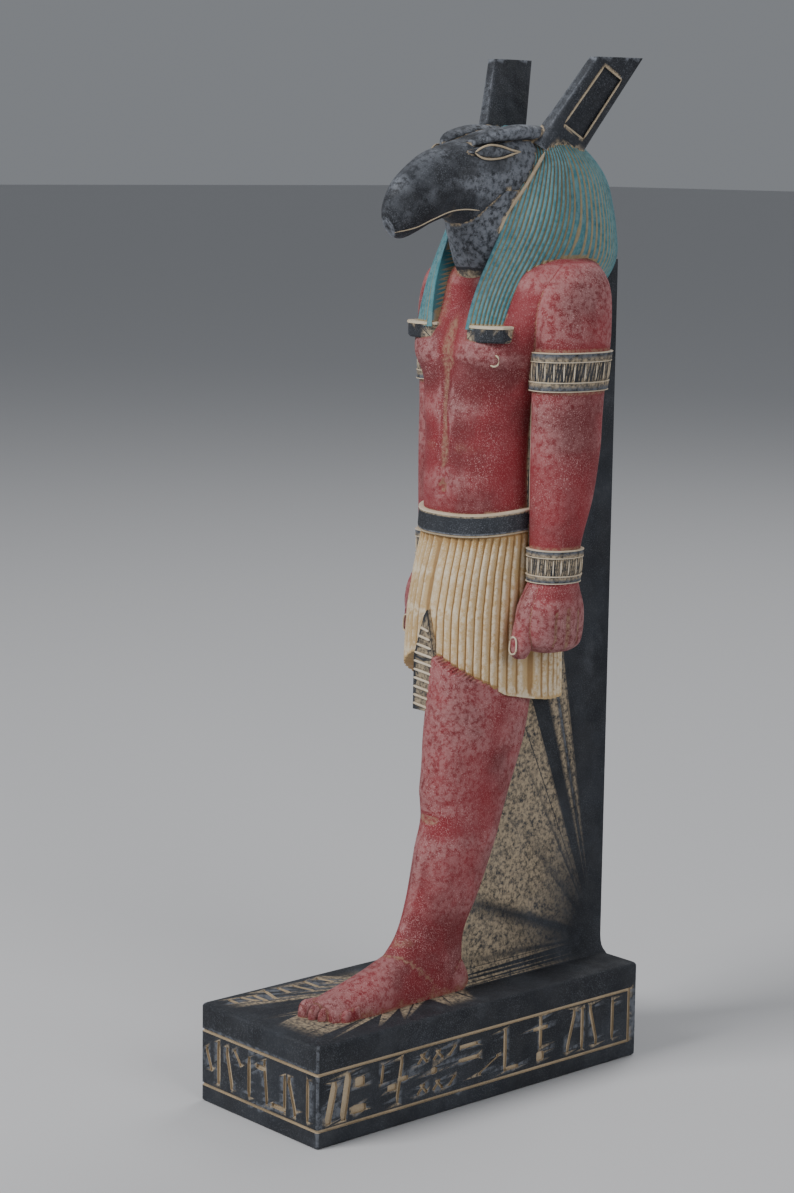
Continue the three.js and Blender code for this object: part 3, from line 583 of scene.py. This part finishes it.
add("torso", torso_body(), "skin")
add("chest_ring", chest_ring(1), "cream")
NECK = [
    (462, 0, 52, 23, 28, 24, 2.4), (476, 0, 52, 23, 26.5, 24, 2.4), (484, 0, 52, 23.4, 30.5, 24, 2.4),
    (495, 0, 52, 24, 34.5, 24, 2.4), (508, 0, 52, 25, 38.5, 24, 2.4), (524, 0, 52, 25.5, 42, 24, 2.4),
]
add("neck", upright(NECK, 5, 64), "head")

# Arms: hang at the sides, fists closed, with black bands round the upper arm and the wrist.
ARM = [
    (298, 50, 49, 12.5, 14, 14, 2.2), (308, 50, 50, 13.6, 14.6, 14.6, 2.2),
    (324, 50, 50.5, 14, 15, 15, 2.2),
    (350, 50, 54.5, 15.2, 19.8, 20, 2.2), (377, 50, 57, 15.2, 23, 23, 2.2),
    (395, 50, 57.6, 15.2, 23.4, 23.6, 2.2),
    (412, 50, 58, 15.8, 23.8, 24.4, 2.2), (434, 50, 60, 16, 26, 26, 2.2), (452, 50, 60, 16, 28, 27, 2.2),
    (467, 50, 61, 15.4, 26, 25, 2.2), (477, 49.5, 62, 13, 20, 21, 2.1), (483, 48.5, 64, 8, 12, 14, 2),
    (484.8, 48, 65, 2, 3, 4, 2),
]
HAND = [
    (261.5, 50, 49, 9, 13, 12, 2.6), (266, 50, 47.8, 14, 18.5, 18, 2.6),
    (276, 50, 47, 15.8, 20.6, 20.6, 2.6),
    (287, 50, 47.4, 15.6, 19.8, 20.4, 2.5), (296, 50, 48.6, 14, 16.8, 17, 2.4),
    (304, 50, 49.8, 12.8, 14, 14, 2.2),
]
THUMB = [
    (258.6, 48, 25.6, 3, 3, 4, 2.2), (262, 48, 25.4, 5.2, 5, 6, 2.3), (270, 48.4, 27, 6.1, 6, 9, 2.3),
    (284, 49, 30.6, 6.4, 6.4, 10, 2.2), (296, 49.6, 36.5, 6, 6.2, 10, 2.2), (304, 50, 42, 5, 6, 9, 2.2),
]
ROD = [
    (242.5, 50, 32.5, 2.4, 2.4, 2.4, 2), (244.5, 50, 32.5, 5, 5, 5, 2), (251, 50, 32.8, 5, 5, 5, 2),
    (254, 50, 33, 3.6, 3.6, 3.6, 2), (268, 50, 36, 3.6, 3.6, 3.6, 2),
]
BANDS = {"armlet": (412, 434, 5, 22), "bracelet": (302, 321, 4, 20)}


def arm_row(z, rise):
    """The arm's row at a height, with its widths raised by rise."""
    row = np.array([lookup(ARM, z, k) for k in range(7)])
    return row + [0, 0, 0, rise, rise, rise, 0]


def band_body(path, count=72):
    """Band round the arm from pairs of height and rise."""
    return closed(level_rings(np.array([arm_row(z, rise) for z, rise in path]), count))


def hand_body():
    """Fist with three creases between the fingers on its outer side."""
    rings = level_rings(resample(HAND, 5), 72)
    x, y, z = rings[..., 0], rings[..., 1], rings[..., 2]
    outer = smooth(56, 62, x) * smooth(289, 284, z)
    for crease in (38.4, 47.4, 56.4):
        x -= 1.2 * outer * np.exp(-(((y - crease) / 1.1) ** 2))
    return closed(rings)


def band_parts(low, high, rim, strokes):
    """Band with raised rims, four pale lines and a row of pale upright bars."""
    path = [
        (low, 0.2), (low + 0.6, 1.6), (low + rim, 1.7), (low + rim + 0.5, 1.1),
        (high - rim - 0.5, 1.1), (high - rim, 1.7), (high - 0.6, 1.6), (high, 0.2),
    ]
    yield "band", band_body(path), "stone"
    for k, z in enumerate((low + 0.2, low + rim + 0.2, high - rim - 0.2, high - 0.2)):
        ridge = [(z - 0.42, 0.6), (z - 0.2, 1.9), (z + 0.2, 1.9), (z + 0.42, 0.6)]
        yield f"line_{k}", band_body(ridge), "cream"
    for k in range(strokes):
        c, s = outline(TAU * (k + 0.5) / strokes, 2.2)
        bars = []
        for z in (low + rim + 1, (low + high) / 2, high - rim - 1):
            row = arm_row(z, 1.2)
            bars.append((row[1] + row[3] * c, row[2] + (row[4] if s < 0 else row[5]) * s, z))
        yield f"bar_{k}", cord(bars, 0.38, 2, 6), "cream"


def arm_parts():
    """Arm, fist, thumb, thumbnail and both bands of the left side."""
    yield "arm", upright(ARM, 6, 72), "skin"
    yield "hand", hand_body(), "skin"
    yield "thumb", upright(THUMB, 5, 40), "skin"
    nail = [
        (45.6, 20.2, 270), (45.4, 19.9, 263.5), (48, 19.4, 261.6), (50.6, 19.9, 263.5),
        (50.4, 20.2, 270), (48, 20, 271.6), (45.6, 20.2, 270),
    ]
    yield "nail", cord(nail, 0.5), "cream"
    for band, values in BANDS.items():
        for label, body, name in band_parts(*values):
            yield f"{band}_{label}", body, name


for label, body, name in arm_parts():
    add("left_" + label, body, name)
    points, faces = mirrored(body)
    add("right_" + label, (points + [2, 2, 0], faces), name)
points, faces = mirrored(upright(ROD, 5, 32))
add("rod", (points + [2, 2, 0], faces), "head")
for side in (-1, 1):
    low, high = sorted((side * 28, side * 46))
    add(f"arm_web_{side}", block(low, high, 42, 72, 268, 452), "stone")
    for x in (36.9, 38.7):
        line = [(side * x, 42, z) for z in (340, 380, 424)]
        add(f"web_line_{side}_{x}", cord(line, 0.5, 4, 6), "cream")

# Head: curved snout, hooded eyes and square-tipped ears, in the paler black paint, which is partly worn and
# partly a painted highlight for its light top.
HEAD = [
    (-39.8, 508.5, -33.5, 498.2, 3.4, 2), (-39.6, 513.5, -28.5, 497.2, 6.4, 2.1),
    (-37.4, 519.5, -23, 498.4, 8.8, 2.2),
    (-32, 528.5, -15.5, 501.5, 11, 2.2), (-24.8, 535, -9, 504.5, 12.8, 2.2),
    (-15, 541.8, -2, 507, 14.6, 2.2),
    (-6.2, 546, 4.5, 508.5, 16.6, 2.3), (4, 549, 12, 506, 19.2, 2.5), (13, 551.5, 20, 502.5, 21.6, 2.7),
    (24, 554, 30, 500, 23.6, 2.8), (38, 558, 42, 500, 25.6, 2.8),
    (54, 560, 54, 500, 26.6, 2.6), (74, 559, 74, 500, 25, 2.4),
]
BROW = [
    (14, 11, 550, 3, 2), (19, 14, 552.4, 5.2, 2.8), (26, 16, 554.4, 6.6, 3.6), (36, 17.6, 556, 7.6, 4.2),
    (46, 18.6, 557, 8, 4.4), (62, 19, 556.5, 7, 4.2),
]


def head_body():
    """Sections leaning with the snout, each from its crown line to its jaw line."""
    rows = resample(HEAD, 6)
    top_y, top_z, low_y, low_z, half, power = (rows[:, k, None] for k in range(6))
    c, s = outline(np.arange(96)[None, :] * TAU / 96, power)
    t = (s + 1) / 2
    jaw = 0.8 + 0.2 * smooth(0, 0.6, t)
    rings = np.stack([half * jaw * c, low_y + (top_y - low_y) * t, low_z + (top_z - low_z) * t], -1)
    return closed(rings)


def lens_rings(rows, count, power):
    """Upright rings across the face from rows [y, x, z, half width, half height]."""
    y, x, z, wide, high = (rows[:, k, None] for k in range(5))
    c, s = outline(np.arange(count)[None, :] * TAU / count, power)
    return np.stack([x + wide * c, y + 0 * c, z + high * s], -1)


def face_parts():
    """Brow hood, eye, eyelid lines and mouth line of the left side."""
    yield "brow", closed(lens_rings(resample(BROW, 6), 40, 2.4)), "head"
    eye = [
        (9, 15, 545.4, 3, 0.5), (14, 16.8, 545.4, 3.2, 2.4), (20, 18.6, 545.4, 3.3, 3.4),
        (27, 20.6, 545.4, 3.2, 3), (38, 22.6, 545.6, 3, 0.8),
    ]
    yield "eye", closed(lens_rings(resample(eye, 6), 32, 2)), "head"
    lid = [
        (18.6, 11, 545.2), (20.6, 15, 548.2), (22.4, 20, 549.6),
        (24, 27, 548.8), (25.4, 34, 546.8), (26, 40, 546),
    ]
    yield "upper_lid", cord(lid, 0.6), "incised"
    under = [
        (18.6, 11, 545.2), (20.4, 15, 542.4), (22.2, 20, 541.6),
        (24, 27, 542.4), (25.4, 34, 544.6), (26, 40, 546),
    ]
    yield "lower_lid", cord(under, 0.55), "incised"
    mouth = [
        (3.4, -35, 500.6), (8.6, -24, 503.4), (12, -14, 508),
        (14.8, -3, 512.4), (17.6, 6, 513.6), (20.4, 14, 513),
    ]
    yield "mouth", cord(mouth, 0.35), "incised"


add("head", head_body(), "head")
for label, body, name in face_parts():
    add("left_" + label, body, name)
    add("right_" + label, mirrored(body), name)


def ear_frame():
    """Base, direction up the ear, across it and through it."""
    base, tip = np.array([23.5, 71, 549.0]), np.array([44, 97.5, 600.0])
    along = (tip - base) / np.linalg.norm(tip - base)
    wide = np.array([0.1, 1, 0.0])
    wide -= along * (wide @ along)
    wide /= np.linalg.norm(wide)
    return base, along, wide, np.cross(wide, along), np.linalg.norm(tip - base)


def ear_body():
    """Square-tipped ear: sections set along the leaning axis."""
    base, along, wide, thick, length = ear_frame()
    sections = [(-0.1, 17, 6.5, 5), (0.2, 16.2, 4.8, 6), (0.6, 15.6, 4.4, 6), (1.3, 14.6, 4, 6)]
    t, half, deep, power = resample(sections, 10).T[..., None]
    c, s = outline((np.arange(60) + 0.5)[None, :] * TAU / 60, power)
    spine = base + along * (t * length)[..., None]
    return closed(spine + wide * (half * c)[..., None] + thick * (deep * s)[..., None])


def ear_panel():
    """Sunk panel on the outer face, a shallow block that follows the ear's lean."""
    base, along, wide, thick, length = ear_frame()
    rings = []
    for t, half in ((0.2, 9.5), (0.86, 8.5)):
        centre = base + along * t * length + thick * np.sign(thick[0]) * 4.4
        ring = ((-half, -1.6), (half, -1.6), (half, 1.6), (-half, 1.6))
        rings.append([centre + wide * a + thick * b for a, b in ring])
    return closed(np.array(rings))


EAR_CLIP = block(-70, 70, 40, 140, 600, 650)
for side in (-1, 1):
    flip = (lambda body: body) if side > 0 else mirrored
    ear = place(f"ear_{side}", flip(ear_body()), "head")
    statue_parts.append((ear, [(EAR_CLIP, "head"), (flip(ear_panel()), "head")]))
    base, along, wide, thick, length = ear_frame()
    out = thick * np.sign(thick[0]) * 4.5
    panel = ((0.2, -9.5), (0.86, -8.5), (0.86, 8.5), (0.2, 9.5))
    corners = [base + along * t * length + wide * a + out for t, a in panel]
    for k in range(4):
        a, b = corners[k], corners[(k + 1) % 4]
        add(f"ear_line_{side}_{k}", flip(cord([a, (a + b) / 2, b], 0.6, 4, 6)), "incised")

# Wig: one shell of carved strands, a hood behind and two falls in front with banded ends.
WIG_STRANDS, WIG_DEPTH = 72, 1.2
WIG = [
    (446, 60, 40.4, 21, 51.5, 30, 4, 14.5), (458, 62, 41, 24, 51.5, 44, 3.6, 16),
    (472, 66, 42.2, 32, 52, 56, 3.2, 18),
    (486, 70, 43, 40, 51, 57, 2.8, 20), (500, 72, 42.4, 41.6, 47.5, 55, 2.5, 21.5),
    (515, 72, 41.2, 41, 42, 53.4, 2.3, 22),
    (530, 71, 38.6, 38.6, 33.5, 49.5, 2.3, 22), (541, 70, 35.2, 35.2, 26, 42.5, 2.2, 20),
    (550, 69, 30.4, 30.4, 20, 32, 2.2, 16),
    (557, 68, 23.4, 23.4, 14.5, 21.5, 2.2, 10), (561, 67, 14, 14, 8, 12, 2.1, 5),
]


def wig_body():
    """Half rings from the inner edge of a fall to the middle of the back, mirrored, with grooves."""
    rows = resample(WIG, 5)
    z, middle, wide, narrow, front, back, power, notch = (rows[:, k, None] for k in range(8))
    per = 5
    count = WIG_STRANDS // 2 * per
    start = -np.arccos((notch / wide) ** (power / 2))
    u = np.arange(count)[None, :] / (count - 0.5)
    c, s = outline(start + (np.pi / 2 - start) * u, power)
    half = narrow + (wide - narrow) * smooth(-0.5, 0.3, -s)
    x, y = half * c, np.where(s < 0, front, back) * s
    phase = (u * WIG_STRANDS / 2) % 1
    wave = 0.5 + 0.5 * np.cos(TAU * phase)
    dip = WIG_DEPTH * wave**3 * smooth(561, 552, z) / np.hypot(x, y)
    side = np.stack([x * (1 - dip), middle + y * (1 - dip), z + 0 * x], -1)
    inside = np.maximum(44, middle - front + 2)
    edge = np.stack([np.hstack([-notch, notch]), np.hstack([inside, inside]), np.hstack([z, z])], -1)
    return closed(np.concatenate([side, side[:, ::-1] * [-1, 1, 1], edge], 1))


def lappet_end(levels):
    """Flat end of a fall of hair, its outline grown by a little at each level."""
    outer = np.array([(14, 14), (16, 11.4), (25, 10), (34, 11.4), (39.4, 16), (40, 50), (14, 50)], float)
    rings = []
    for z, grow in levels:
        x = outer[:, 0] + grow * (outer[:, 0] - 27) / 13
        y = np.where(outer[:, 1] < 30, outer[:, 1] - grow, outer[:, 1])
        rings.append(np.column_stack([x, y, np.full(len(x), z)]))
    return closed(np.stack(rings))


add("wig", wig_body(), "wig")
for side in (-1, 1):
    flip = (lambda body: body) if side > 0 else mirrored
    add(f"fall_end_{side}", flip(lappet_end([(439, 0), (440, 0.9), (447, 0.9), (448, 0)])), "head")
    line = lappet_end([(446.6, 0.4), (447, 1.3), (448.2, 1.3), (448.6, 0.4)])
    add(f"fall_line_{side}", flip(line), "cream")
    border = [(21, 28.6, 500), (22.6, 34, 512), (26.4, 42.4, 525), (28.4, 50, 537), (29, 56, 546)]
    add(f"face_border_{side}", flip(cord(border, 1.1)), "incised")


# Joining: strokes are cut from the plinth and every carved part is fused with it into one block.
def combine(target, body, operation):
    """Joins or cuts one closed body with the target's mesh and keeps each face's paint."""
    tool = body if isinstance(body, bpy.types.Object) else place("tool", *body)
    modifier = target.modifiers.new("join", "BOOLEAN")
    modifier.operation, modifier.solver, modifier.object = operation, "MANIFOLD", tool
    result = bpy.data.meshes.new_from_object(target.evaluated_get(bpy.context.evaluated_depsgraph_get()))
    target.modifiers.clear()
    target.data = result
    bpy.data.objects.remove(tool)


def merged(bodies):
    """Single object from painted bodies, fused one after another."""
    first = place("tool", *bodies[0])
    for body in bodies[1:]:
        combine(first, body, "UNION")
    return first


combine(plinth, merged([(cutter, "incised") for cutter in cutters]), "DIFFERENCE")
for part in statue_parts:
    if isinstance(part, tuple):
        part, cuts = part
        for cut in cuts:
            combine(part, cut, "DIFFERENCE")
    combine(plinth, part, "UNION")
statue = plinth
statue.name = "carved_statue"


# Wear: how hollow or sharp each point is, from the mesh's own curvature at two widths. It is
# left off points with a long edge; inside large flat faces it still runs across in streaks.
def spread(values, pairs, count, times):
    """Average of each vertex with its neighbours, repeated."""
    degree = np.bincount(pairs.ravel(), minlength=count).astype(float)
    for _ in range(times):
        total = np.zeros_like(values)
        np.add.at(total, pairs[:, 0], values[pairs[:, 1]])
        np.add.at(total, pairs[:, 1], values[pairs[:, 0]])
        mean = total / np.maximum(degree, 1)[:, None]
        values = 0.5 * values + 0.5 * mean
    return values


mesh = statue.data
count = len(mesh.vertices)
points = np.empty(count * 3)
mesh.vertices.foreach_get("co", points)
points = np.clip(points.reshape(-1, 3), list(cad_low), list(cad_high))
mesh.vertices.foreach_set("co", points.ravel())
mesh.update()
normals = np.empty(count * 3)
mesh.vertices.foreach_get("normal", normals)
normals = normals.reshape(-1, 3)
pairs = np.empty(len(mesh.edges) * 2, np.int64)
mesh.edges.foreach_get("vertices", pairs)
pairs = pairs.reshape(-1, 2)
FINE_STEPS, BROAD_STEPS = 3, 24
FINE_DEPTH, BROAD_DEPTH = 0.12 * MM, 0.8 * MM
COARSE_EDGE, DENSE_EDGE = 7 * MM, 3.5 * MM
near = spread(points, pairs, count, FINE_STEPS)
wide_points = spread(near, pairs, count, BROAD_STEPS)
fine = ((near - points) * normals).sum(1) / FINE_DEPTH
broad = ((wide_points - points) * normals).sum(1) / BROAD_DEPTH
length = np.linalg.norm(points[pairs[:, 0]] - points[pairs[:, 1]], axis=1)
longest = np.zeros(count)
np.maximum.at(longest, pairs[:, 0], length)
np.maximum.at(longest, pairs[:, 1], length)
dense = smooth(COARSE_EDGE, DENSE_EDGE, longest)
fine, broad = fine * dense, broad * dense
for name, values in (("hollow", fine), ("edge", -fine), ("broad", broad)):
    layer = mesh.attributes.new(name, "FLOAT", "POINT")
    layer.data.foreach_set("value", np.clip(values, 0, 1).astype(np.float32))
mesh.polygons.foreach_set("use_smooth", np.ones(len(mesh.polygons), bool))
mesh.set_sharp_from_angle(angle=np.radians(38))

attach(statue, "root")
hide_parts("statue")

# Studio: pale floor, soft light and the camera at the photograph's angle.
floor_mesh = bpy.data.meshes.new("floor")
floor_mesh.from_pydata([(-30, -30, 0), (30, -30, 0), (30, 30, 0), (-30, 30, 0)], [], [(0, 1, 2, 3)])
floor = bpy.data.objects.new("floor", floor_mesh)
bpy.context.scene.collection.objects.link(floor)
ground = bpy.data.materials.new("pale_floor")
ground.use_nodes = True
ground.node_tree.nodes["Principled BSDF"].inputs["Base Color"].default_value = (0.62, 0.62, 0.63, 1)
ground.node_tree.nodes["Principled BSDF"].inputs["Roughness"].default_value = 0.85
floor_mesh.materials.append(ground)
floor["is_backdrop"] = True


def lamp(name, location, size, power, colour=(1, 1, 1)):
    """Square studio light turned towards the middle of the statue."""
    data = bpy.data.lights.new(name, "AREA")
    data.size, data.energy, data.color = size, power, colour
    obj = bpy.data.objects.new(name, data)
    obj.location = location
    away = np.array(location) - [0, 0, 0.3]
    obj.rotation_euler = Matrix(basis(away)).transposed().to_euler()
    bpy.context.scene.collection.objects.link(obj)


def basis(away):
    """Right, up and back unit vectors of something that looks against the vector away."""
    back = np.array(away) / np.linalg.norm(away)
    right = np.cross([0, 0, 1.0], back)
    right /= np.linalg.norm(right)
    return np.array([right, np.cross(back, right), back])


lamp("key", (-0.5, -2.2, 2.1), 1.1, 66)
lamp("side", (2.6, -0.2, 1.5), 1.4, 26)
lamp("back", (-0.6, 2.0, 2.4), 1.4, 22)
world = bpy.context.scene.world or bpy.data.worlds.new("world")
bpy.context.scene.world = world
world.use_nodes = True
world.node_tree.nodes["Background"].inputs["Color"].default_value = (0.8, 0.84, 0.9, 1)
world.node_tree.nodes["Background"].inputs["Strength"].default_value = 0.26

CAMERA = dict(
    azimuth=48.407, elevation=9.416, roll=0.749, distance=1589.08, target=(-29.97, 0, 286.87), lens=81.475
)
azimuth, elevation, roll = (np.radians(CAMERA[k]) for k in ("azimuth", "elevation", "roll"))
level = np.cos(elevation)
back = np.array([np.sin(azimuth) * level, -np.cos(azimuth) * level, np.sin(elevation)])
right, up, back = basis(back)
turned = [np.cos(roll) * right + np.sin(roll) * up, -np.sin(roll) * right + np.cos(roll) * up, back]
lens = bpy.data.cameras.new("camera")
lens.lens, lens.sensor_width = CAMERA["lens"], 36
camera = bpy.data.objects.new("camera", lens)
station = (np.array(CAMERA["target"]) + back * CAMERA["distance"]) * MM
camera.matrix_world = Matrix.Translation(station) @ Matrix(np.array(turned).T).to_4x4()
bpy.context.scene.collection.objects.link(camera)
bpy.context.scene.camera = camera

low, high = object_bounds()
{"cad": [list(cad_low), list(cad_high)], "visual": [list(low), list(high)]}
